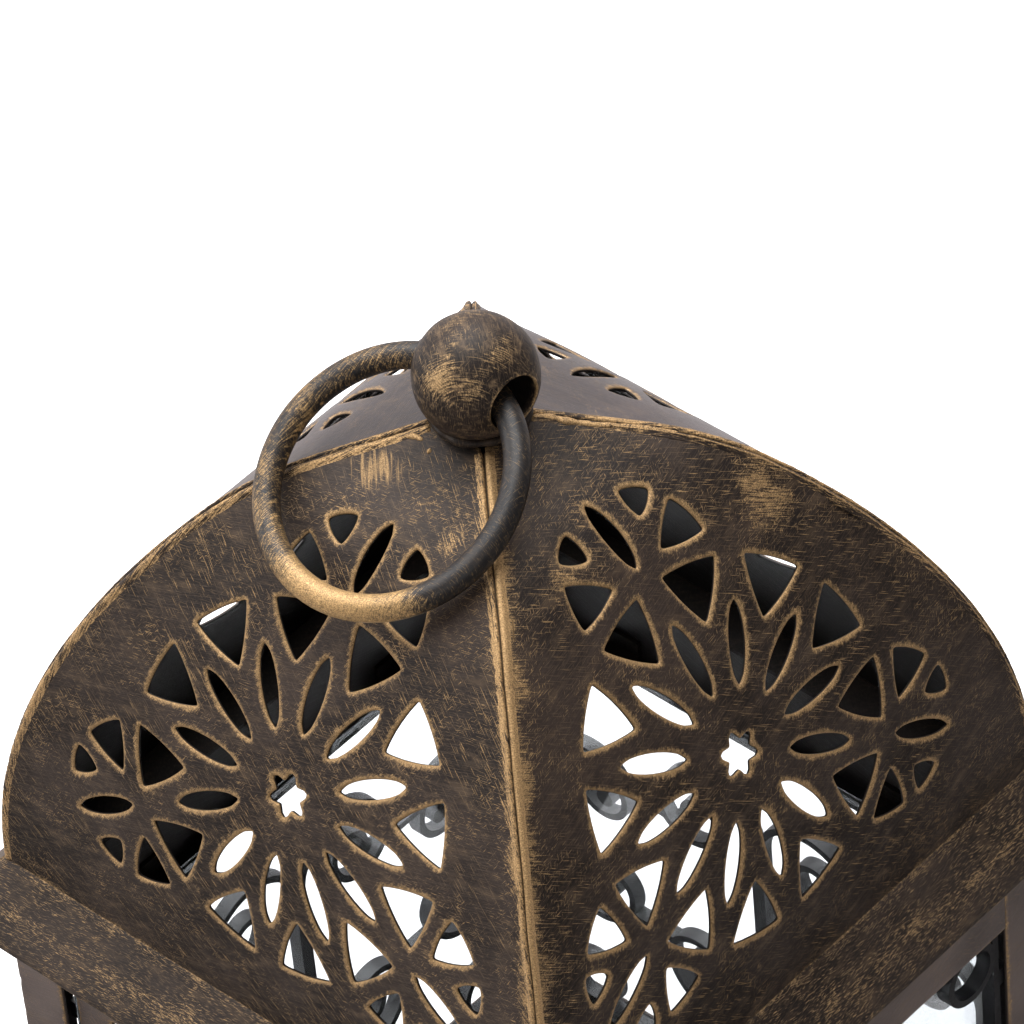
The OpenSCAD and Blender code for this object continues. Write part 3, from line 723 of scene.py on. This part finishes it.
for side, turn in TURNS.items():
    rub = spread(to_ridge, 3.2) * 0.6
    if side in FRONT_RIDGE:
        way, reach = FRONT_RIDGE[side]
        rub = np.maximum(rub, (way * spots[:, 0] > 0) * spread(to_ridge, reach) * 0.95)
    rub = np.maximum(rub, TIP_RUB[side] * bell(spots[:, 1], 90, 15))
    for patch in RUBBED.get(side, ()):
        rub = np.maximum(rub, patch_of(*patch))
    painted_shade, swept = (patch_of(*SHADOW_UNDER_BALL), patch_of(*BRUSHED)) if side == "front" else (0.0, 0.0)
    near = np.maximum(spread(dome_flat["hole_d"], FADE), 0.93 * spread(to_ridge, FADE))
    near = np.maximum(near, 0.8 * spread(from_base, FADE))
    shells = Shells()
    paint = panel_paint if side in ("front", "right") else rear_paint_sheen
    add_plate(shells, dome_flat, dome_place(side, turn), SHEET, 3 + turn // 90, rub, near, painted_shade, swept)
    shells.make(f"dome_skin_{side}", paint, "lantern", [f"dome_panel_{side}"])

# ---- Ridges between the panels


def ridge_section(w):
    """Height of the two folded sheet edges and the groove between them, above the panels."""
    return 0.26 * bell(w, -0.62, 0.26) + 0.30 * bell(w, 0.75, 0.50) - 0.55 * bell(w, -0.02, 0.17)


RIDGE_ACROSS = np.array([-1.7, -1.3, -1.0, -0.8, -0.62, -0.44, -0.28, -0.14, -0.02,
                         0.10, 0.24, 0.42, 0.62, 0.85, 1.1, 1.4, 1.8, 2.3])
ridge_s = np.arange(0, SHEET_LEN - 0.2, 0.6)
ridge_shells = Shells()


def add_ridge(k, turn):
    """Soldered seam up one ridge: a strip of the seam's section, closed by an edge under the sheets."""
    spot, facing = dome_line(ridge_s)
    if turn == 180:
        spot = spot - facing * far_sag(ridge_s)[:, None]
    # the front ridge lies between the front panel (-Y) and the right panel (+X)
    line = np.column_stack([spot[:, 0], -spot[:, 0], spot[:, 1]])
    n_front = np.column_stack([np.zeros(len(spot)), -facing[:, 0], facing[:, 1]])
    n_right = np.column_stack([facing[:, 0], np.zeros(len(spot)), facing[:, 1]])
    along = unit(np.gradient(line, axis=0))
    in_front, in_right = np.cross(along, n_front), np.cross(along, n_right)
    in_front *= np.sign(-in_front[:, :1])
    in_right *= np.sign(in_right[:, 1:2])
    middle = unit(n_front + n_right)
    grids = []
    sway = 0.10 * wave(np.column_stack([ridge_s, ridge_s * 0]), 50 + k, 14.0)
    for w in RIDGE_ACROSS:
        into, normal = (in_front, n_front) if w < 0 else (in_right, n_right)
        blend_by = np.clip(abs(w) / 0.5, 0, 1)
        up = normal * blend_by + middle * (1 - blend_by)
        height = ridge_section(w + sway) - (0.12 if abs(w) > 1.5 else 0.0)
        rough = 0.05 * wave(np.column_stack([ridge_s * 3, np.full(len(ridge_s), w * 4)]), 80 + k, 3.0)
        grids.append(line + into * abs(w) + up * (height + rough * (abs(w) < 1.5))[:, None])
    top = np.stack(grids, 1)
    under = line - (n_front + n_right) * 0.55
    rows, cols = top.shape[:2]
    points = np.concatenate([top.reshape(-1, 3), under])
    faces = [(i * cols + j, i * cols + j + 1, (i + 1) * cols + j + 1, (i + 1) * cols + j)
             for i in range(rows - 1) for j in range(cols - 1)]
    base, last = rows * cols, cols - 1
    faces += [(base + i, base + i + 1, (i + 1) * cols, i * cols) for i in range(rows - 1)]
    faces += [(i * cols + last, (i + 1) * cols + last, base + i + 1, base + i) for i in range(rows - 1)]
    faces += [tuple(range(cols)) + (base,), tuple(range(base - cols, base)) + (base + rows - 1,)]
    w_all = np.tile(RIDGE_ACROSS, rows) + np.repeat(sway, cols)
    # painted shade in the groove between the folded edges
    painted_shade = bell(w_all, -0.02, 0.13)
    near = np.maximum(bell(w_all, -0.62, 0.25), 0.72 * bell(w_all, 0.72, 0.75))
    rub = np.where(w_all > 0, 0.95, 0.75) * (1.0 if k == 0 else 0.7)
    sheet = np.column_stack([np.tile(RIDGE_ACROSS, rows), np.repeat(ridge_s, cols),
                             np.full(base, 500.0 + 40 * k)])
    tail = len(under)
    points = turned(points, turn)
    # the edge under the sheets is in full painted shade
    near, painted_shade = np.append(near, np.zeros(tail)), np.append(painted_shade, np.ones(tail))
    ridge_shells.add(points, faces, near, np.append(rub, np.zeros(tail)), painted_shade,
                     0.0, np.concatenate([sheet, np.zeros((tail, 3))]))


def add_wire(side, rub, near, stations):
    """Raised line of metal along a panel, through (across, along, radius) stations."""
    stations = np.array(stations, float)
    at = np.concatenate([[0], np.cumsum(np.hypot(*np.diff(stations[:, :2], axis=0).T))])
    t = np.linspace(0, at[-1], max(int(at[-1] / 0.3), 8))
    u, s, radius = (np.interp(t, at, stations[:, k]) for k in range(3))
    place, flat = dome_place(side, TURNS[side]), np.column_stack([u, s])
    spine = place(flat, np.full(len(t), 0.05))
    lift = unit(place(flat, np.full(len(t), -0.95)) - spine)
    aside = unit(np.cross(lift, np.gradient(spine, axis=0)))
    turns = np.linspace(0, 2 * math.pi, 10, endpoint=False)
    rough = 1 + 0.22 * wave(spine, 131, 1.3)
    radius = radius * rough * np.sqrt(np.clip(np.minimum(t, at[-1] - t) / 0.45, 0.05, 1))
    rings = [spine + radius[:, None] * (aside * math.cos(a) + lift * (0.75 * math.sin(a))) for a in turns]
    points = np.stack(rings, 1).reshape(-1, 3)
    n, rows = len(turns), len(t)
    faces = [(i * n + j, i * n + (j + 1) % n, (i + 1) * n + (j + 1) % n, (i + 1) * n + j)
             for i in range(rows - 1) for j in range(n)]
    faces += [tuple(range(n)), tuple(range((rows - 1) * n, rows * n))]
    ridge_shells.add(points, faces, near, rub)


# panel, rub, nearness to an edge, and stations of each line of metal
WIRES = (
    # hem along the left ridge, that ends in a curl by the ball
    ("front", 0.55, 0.75, ((-24.5, 80.3, 0.22), (-18.0, 87.4, 0.26), (-13.2, 92.6, 0.30),
                           (-11.8, 94.3, 0.34), (-10.7, 94.0, 0.30), (-10.5, 93.0, 0.22))),
    # a blob and a lip of solder at the ball
    ("front", 0.8, 0.9, ((-2.7, 97.7, 0.42), (-2.3, 97.75, 0.55), (-1.9, 97.8, 0.42))),
    ("front", 0.8, 0.9, ((-7.6, 97.5, 0.30), (-5.8, 98.6, 0.48), (-4.2, 98.7, 0.30))),
    # thick, wavy seam down the right ridge
    ("right", 0.8, 0.8, ((5.6, 101.0, 0.45), (8.0, 97.4, 0.60), (11.0, 94.0, 0.40),
                         (15.0, 90.4, 0.38), (17.0, 88.0, 0.48), (20.0, 85.2, 0.25))),
)

for k, turn in enumerate(TURNS.values()):
    add_ridge(k, turn)
for wire in WIRES:
    add_wire(*wire)
ridge_shells.make("ridge_beads", seam_paint, "lantern", ["ridge_seams"])

# ---- Eave and base skirt: four mitred sides each


MITRE_GAP = 0.02


def band(name, profile, soften, replaced, seed, rubs):
    """Four mitred sides of a folded band; rubs are the rubbed lines along it: (up, half width, how much)."""
    line = bend_line(profile, soften)
    v = np.linspace(0, line.length, 60)
    half = line(v)[0][:, 0] - MITRE_GAP
    outline = np.concatenate([np.column_stack([half, v]), np.column_stack([-half, v])[::-1]])
    folds = np.cumsum([math.dist(a, b) for a, b in zip(profile, profile[1:])])[:-1]
    across = np.arange(-half.max(), half.max(), 2.0)
    creases = [np.column_stack([across, np.full(len(across), fold + d)])
               for fold in folds for d in (-0.5, -0.2, 0.1, 0.4)]
    flat = cut_pattern(smooth_loop(outline, 0.7, 0.15), (), creases, PLAIN_STEPS)
    up = flat["points"][:, 1]
    near = 0.97 * spread(flat["edge_d"], FADE)
    for fold in folds:
        near = np.maximum(near, 0.86 * spread(np.abs(up - fold), FADE))
    rub = np.max([most * bell(up, centre, reach) for centre, reach, most in rubs], axis=0)
    shells = Shells()
    for turn in TURNS.values():
        add_plate(shells, flat, side_place(line, turn, MITRE_GAP), SHEET, seed + turn // 90, rub, near)
    shells.make(name, band_paint, "lantern", [replaced])


EAVE_HALF = DOME_HALF + EAVE_OUT
EAVE_Z = DOME_BASE - EAVE_DROP
SKIRT_HALF = BODY_HALF + EAVE_OUT
band("eave_skin", [(EAVE_HALF, EAVE_Z - EAVE_LIP), (EAVE_HALF, EAVE_Z), (DOME_HALF, DOME_BASE)],
     0.22, "eave_band", 11, ((6.5, 3.4, 0.55), (12.5, 1.4, 0.5)))
band("skirt_skin", [(SKIRT_HALF - SKIRT_FLANGE, 0.0), (SKIRT_HALF, 0.0), (SKIRT_HALF, SKIRT_FOOT),
                    (BODY_HALF, SKIRT_H)],
     0.25, "base_skirt", 17, ((5.5, 2.0, 0.5), (12, 4, 0.45)))

# ---- Posts, rails, lintel and sill

# an angle post, seen from above: its two edges and the fold between them
post_line = bend_line([(POST_EDGE, -BODY_HALF), (BODY_HALF, -BODY_HALF), (BODY_HALF, -POST_EDGE)], 0.4)


def post_place(turn):
    """Folds a flat pattern into an upright angle at one corner."""
    def place(pts, depth):
        spot, facing = post_line(pts[:, 0])
        plan = spot - facing * depth[:, None]
        return turned(np.column_stack([plan, pts[:, 1]]), turn)
    return place


def rectangle(x0, z0, x1, z1, spacing=0.7, soften=0.2):
    return smooth_loop([(x0, z0), (x1, z0), (x1, z1), (x0, z1)], spacing, soften)


fold = post_line.length / 2
upright = np.arange(BODY_BOTTOM + 1, RAIL_TOP - 1, 2.2)
post_flat = cut_pattern(
    rectangle(0, BODY_BOTTOM, post_line.length, RAIL_TOP), (),
    [np.column_stack([np.full(len(upright), fold + d), upright]) for d in (-0.9, -0.5, -0.2, 0.2, 0.5, 0.9)],
    PLAIN_STEPS)
from_fold = np.abs(post_flat["points"][:, 0] - fold)
post_near = np.maximum(0.97 * spread(post_flat["edge_d"], FADE), 0.9 * spread(from_fold, FADE))
for turn, corner in zip(TURNS.values(), ("front_right", "rear_right", "rear_left", "front_left")):
    shells = Shells()
    rub = 0.35 * spread(from_fold, 4.0)
    add_plate(shells, post_flat, post_place(turn), PLATE, 21 + turn // 90, rub, post_near)
    shells.make(f"post_{corner}", frame_paint_lit, "lantern", [f"corner_post_{corner}"])


def rail(name, replaced, turn, low, high, seed):
    """Flat rail between two posts, from one height to another."""
    line = bend_line([(BODY_HALF, low), (BODY_HALF, high)], 0)
    flat = cut_pattern(rectangle(-POST_EDGE, 0, POST_EDGE, high - low), (), (), PLAIN_STEPS)
    across, up = flat["points"].T
    long_edge, end = np.minimum(up, high - low - up), POST_EDGE - np.abs(across)
    near = np.maximum(0.97 * spread(long_edge, FADE), 0.6 * spread(end, 2))
    shells = Shells()
    add_plate(shells, flat, side_place(line, turn), PLATE, seed, 0.0, near)
    shells.make(name, frame_paint_lit, "lantern", [replaced])


for k, side in enumerate(("right", "rear", "left")):
    rail(f"rail_top_{side}", f"top_rail_{side}", TURNS[side], WINDOW_TOP, RAIL_TOP, 31 + k)
    rail(f"rail_bottom_{side}", f"bottom_rail_{side}", TURNS[side], BODY_BOTTOM, WINDOW_BOTTOM, 35 + k)
rail("lintel_plate", "door_lintel", 0, LINTEL_Z, RAIL_TOP, 41)
rail("sill_plate", "door_sill", 0, BODY_BOTTOM, SILL_Z, 42)

# ---- Door frame: a face plate with its window, and a hem turned in all round

door_line = bend_line([(DOOR_FACE, DOOR_BOTTOM), (DOOR_FACE, DOOR_TOP)], 0)
door_h = DOOR_TOP - DOOR_BOTTOM
window_half = DOOR_HALF - DOOR_FRAME_W
door_window = rectangle(-window_half, DOOR_FRAME_W, window_half, door_h - DOOR_FRAME_W, 0.7, 0.3)
door_flat = cut_pattern(rectangle(-DOOR_HALF, 0, DOOR_HALF, door_h, 0.7, 0.3), [door_window], (), DOOR_STEPS)
door_shells = Shells()
add_plate(door_shells, door_flat, side_place(door_line, 0), PLATE, 45)


def add_hem(x0, x1, z0, z1):
    """Strip turned in along one edge of the door."""
    along_x = x1 - x0 > z1 - z0
    length, thick = (x1 - x0, z1 - z0) if along_x else (z1 - z0, x1 - x0)
    flat = cut_pattern(rectangle(0, 0, length, DOOR_HEM + 0.3, 0.7, 0.15), (), (), HEM_STEPS)
    back = -(DOOR_FACE - PLATE - DOOR_HEM)

    def place(pts, depth):
        along, y = pts[:, 0], back - pts[:, 1]
        return np.column_stack([x0 + along, y, z0 + depth] if along_x else [x0 + depth, y, z0 + along])

    add_plate(door_shells, flat, place, thick, 46)


inner_half = DOOR_HALF - PLATE
add_hem(-DOOR_HALF, -inner_half, DOOR_BOTTOM, DOOR_TOP)
add_hem(inner_half, DOOR_HALF, DOOR_BOTTOM, DOOR_TOP)
add_hem(-inner_half, inner_half, DOOR_BOTTOM, DOOR_BOTTOM + PLATE)
add_hem(-inner_half, inner_half, DOOR_TOP - PLATE, DOOR_TOP)
door_shells.make("door_plate", frame_paint_lit, "door", ["door_frame"])

# ---- Ball finial, its weld, and the ring

BALL_AXIS = (math.cos(BALL_YAW), math.sin(BALL_YAW), 0)
hole_edge = math.asin(BALL_HOLE_R / BALL_R)
sweep = np.linspace(hole_edge + 0.045, math.pi - hole_edge - 0.045, 110)
rim_h = BALL_R * math.cos(hole_edge)
# bore, rounded rim of the hole, and the ball's outside from rim to rim
rim = [(BALL_HOLE_R, 0.45), (BALL_HOLE_R + 0.03, 0.22), (BALL_HOLE_R + 0.14, 0.06)]
profile = [(r, inset - rim_h) for r, inset in rim]
profile += [(BALL_R * math.sin(a), -BALL_R * math.cos(a)) for a in sweep]
profile += [(r, rim_h - inset) for r, inset in rim[::-1]]
profile += [(BALL_HOLE_R, h) for h in np.linspace(rim_h - 1.5, -rim_h + 1.5, 14)]
profile = np.array(profile)
from_rim = np.hypot(profile[:, 0] - BALL_HOLE_R, np.abs(profile[:, 1]) - rim_h)
bore = (profile[:, 0] < BALL_HOLE_R + 0.01) & (np.abs(profile[:, 1]) < rim_h - 0.6)
ball_near = np.where(bore, 0.0, spread(from_rim, FADE))


def ball_dents(pts, turn):
    out = unit(pts - [0, 0, BALL_Z])
    return out * (0.05 * wave(pts, 91, 6.0) - 0.05)[:, None]


# where the ball is worn through to gold: direction, how much, and over how wide an angle
BALL_WEAR = (
    ((0.65, 0.14, 0.74), 0.55, 0.34), ((0.13, -0.79, 0.60), 0.50, 0.42), ((0.57, -0.73, 0.37), 0.38, 0.30),
    ((-0.75, 0.45, 0.30), 0.50, 0.40), ((0.20, 0.95, -0.10), 0.45, 0.35), ((-0.6, -0.6, -0.5), 0.40, 0.35),
)


def ball_rub(pts, turn):
    out = (pts - [0, 0, BALL_Z]) / BALL_R
    worn = 0.28 + 0.28 * wave(pts, 93, 9.0)
    for direction, most, width in BALL_WEAR:
        angle = np.arccos(np.clip(out @ np.array(direction) / np.linalg.norm(direction), -1, 1))
        worn = worn + most * bell(angle, 0, width)
    return np.clip(worn, 0, 1)


shells = Shells()
# the bore is in full painted shade
add_lathe(shells, profile, (0, 0, BALL_Z), BALL_AXIS, (0, 0, 1), 160,
          ball_near, ball_rub, ball_dents, np.where(bore, 1.0, 0.0))
shells.make("finial_ball", ball_paint, "lantern", ["ball_finial"])

WELD_R = 6.7
weld_z = BALL_Z - math.sqrt(BALL_R ** 2 - 6.2 ** 2)
angles = np.linspace(0, 2 * math.pi, 14, endpoint=False)
weld = [(WELD_R + 0.9 * math.cos(a), 0.8 * math.sin(a)) for a in angles]


def weld_lumps(pts, turn):
    circle = WELD_R * np.column_stack([np.cos(turn), np.sin(turn)])
    centre = np.column_stack([circle, np.full(len(turn), weld_z)])
    swell = 0.35 * wave(circle, 95, 3.5)
    return (pts - centre) * (swell - 0.1)[:, None]


shells = Shells()
# the bead is half in painted shade: a painted shadow under the ball
add_lathe(shells, weld, (0, 0, weld_z), (0, 0, 1), (1, 0, 0), 150, 0.25, 0.35, weld_lumps, 0.5)
shells.make("finial_bead", ball_paint, "lantern", ["finial_weld"])

# the ring hangs from the ball's hole, swung down to rest on the dome and turned a little on itself
spin = Matrix.Rotation(BALL_YAW, 3, "Z") @ Matrix.Rotation(RING_REST, 3, "X")
spin = spin @ Matrix.Rotation(RING_LEAN, 3, "Y")
ring_centre = np.array(spin @ Vector((0, -RING_R, 0))) + [0, 0, BALL_Z]
ring_axis, ring_x = np.array(spin @ Vector((0, 0, 1))), np.array(spin @ Vector((1, 0, 0)))


def ring_wobble(pts, turn):
    circle = np.column_stack([np.cos(turn), np.sin(turn)]) * RING_R
    return np.outer(0.05 * wave(circle, 97, 16.0), ring_axis)


# wear round the ring by angle: brightest along its free lower left, dark on the right
RING_WEAR = ((0, 0.12), (40, 0.05), (66, 0.50), (100, 0.40), (130, 0.58), (170, 0.62), (200, 0.60), (223, 0.62),
             (260, 0.92), (285, 1.2), (302, 1.2), (322, 0.75), (340, 0.35), (360, 0.12))


def ring_rub(pts, turn):
    angle, worn = np.array(RING_WEAR).T
    return np.interp(np.degrees(turn) % 360, angle, worn)


angles = np.linspace(0, 2 * math.pi, 36, endpoint=False)
wire = [(RING_R + WIRE_R * math.cos(a), WIRE_R * math.sin(a)) for a in angles]
shells = Shells()
add_lathe(shells, wire, ring_centre, ring_axis, ring_x, 260, 0.0, ring_rub, ring_wobble)
shells.make("carry_loop", ring_paint, "ring", ["carry_ring"])

# ---- CAD nodes that keep their own shape

INSIDE = ("top_frame", "floor_tray", "window_glass_tabs", "door_glass_tabs")
for name, node in nodes.items():
    if node.hide_render:
        continue
    paint = inner_paint_shaded if name in INSIDE else cad_paint
    if "scroll" in name:
        paint = iron_paint
    elif "glass" in name and "tabs" not in name:
        paint = glass_paint
    node.data.materials.clear()
    node.data.materials.append(paint)

# ---- Floor, light and camera, in metres


def floor():
    """Plain pale floor, wide enough to fill every view."""
    bm = bmesh.new()
    bmesh.ops.create_grid(bm, x_segments=8, y_segments=8, size=6.0)
    mesh = bpy.data.meshes.new("floor")
    bm.to_mesh(mesh)
    bm.free()
    obj = bpy.data.objects.new("floor", mesh)
    bpy.context.scene.collection.objects.link(obj)
    p = Paint("floor_white")
    soft = p.noise(p.node("TexCoord").outputs["Object"], 3.0, 2.0)
    p.set("Base Color", p.mix(soft, (0.90, 0.90, 0.905, 1), (0.93, 0.93, 0.93, 1)))
    p.set("Roughness", 0.9)
    mesh.materials.append(p.material)
    obj.visible_glossy = False


LAMP_AIM = (0, 0, 0.19)


def lamp(name, place, size, power):
    """Rectangular softbox turned towards the lantern."""
    data = bpy.data.lights.new(name, "AREA")
    data.shape = "RECTANGLE"
    data.size, data.size_y = size
    data.energy = power
    obj = bpy.data.objects.new(name, data)
    bpy.context.scene.collection.objects.link(obj)
    obj.location = place
    obj.rotation_mode = "QUATERNION"
    obj.rotation_quaternion = (Vector(LAMP_AIM) - Vector(place)).to_track_quat("-Z", "Y")


def studio():
    """Soft grey surroundings that light the lantern, and a white backdrop that only the camera sees."""
    world = bpy.data.worlds.new("studio")
    bpy.context.scene.world = world
    world.use_nodes = True
    n = Nodes(world.node_tree)
    toward = n.node("TexCoord").outputs["Generated"]

    def glow(direction, low, high, strength):
        """Brightness of the studio round one direction."""
        dot = n.node("VectorMath", {0: toward, 1: Vector(direction).normalized()}, operation="DOT_PRODUCT")
        return n.step(dot.outputs["Value"], low, high, 0.0, strength)

    sides = n.math("ADD", glow((-0.72, 0.70, 0.1), 0.1, 0.9, 0.95), glow((-0.8, -0.6, 0.25), 0.2, 0.95, 0.55))
    above_below = n.math("ADD", glow((0, 0, 1), 0.35, 0.95, 0.42), glow((0, 0, -1), 0.55, 0.95, 0.25))
    surroundings = n.tree.nodes["Background"]
    n.put(surroundings.inputs["Color"], (1, 0.935, 0.945, 1))
    n.put(surroundings.inputs["Strength"], n.math("ADD", n.math("ADD", sides, above_below), 0.07))
    backdrop = n.node("Background", {"Color": (1, 1, 1, 1), "Strength": 1.0}).outputs[0]
    seen = n.node("LightPath").outputs["Is Camera Ray"]
    pick = n.node("MixShader", {0: seen, 1: surroundings.outputs[0], 2: backdrop}).outputs[0]
    n.put(n.tree.nodes["World Output"].inputs["Surface"], pick)


def photo_camera():
    """Long lens, high and in front of the right-hand front corner, tilted a little to one side."""
    elevation, plan, roll = math.radians(44.522), math.radians(-44.4545), math.radians(-5.719)
    centre, distance = Vector((0, 0, 0.186)), 1.09662
    # all four in the same unit: the focal length, half the frame, and how far the lens points off centre
    focal, half_frame, aside, above = 7500.0, 512.0, 13.577, 87.671
    back = Vector((math.cos(elevation) * math.cos(plan), math.cos(elevation) * math.sin(plan),
                   math.sin(elevation)))
    right = Vector((-math.sin(plan), math.cos(plan), 0))
    up = back.cross(right)
    x = right * math.cos(roll) + up * math.sin(roll)
    y = right * -math.sin(roll) + up * math.cos(roll)
    ahead = (-back * focal + x * aside + y * above).normalized()
    x = (x - ahead * x.dot(ahead)).normalized()
    y = (-ahead).cross(x)
    data = bpy.data.cameras.new("camera")
    data.sensor_width = 36.0
    data.lens = focal * data.sensor_width / (2 * half_frame)
    data.clip_start, data.clip_end = 0.05, 30.0
    obj = bpy.data.objects.new("camera", data)
    bpy.context.scene.collection.objects.link(obj)
    turn = Matrix((x, y, -ahead)).transposed().to_4x4()
    obj.matrix_world = Matrix.Translation(centre + back * distance) @ turn
    bpy.context.scene.camera = obj


floor()
studio()
lamp("softbox_top", (-0.45, 0.2, 1.6), (1.6, 1.6), 58)
lamp("softbox_left", (-1.3, -0.9, 0.8), (0.9, 1.0), 12)
lamp("softbox_front", (1.2, -1.3, 1.0), (0.7, 0.7), 5)
photo_camera()
bpy.context.scene.view_settings.view_transform = "Standard"
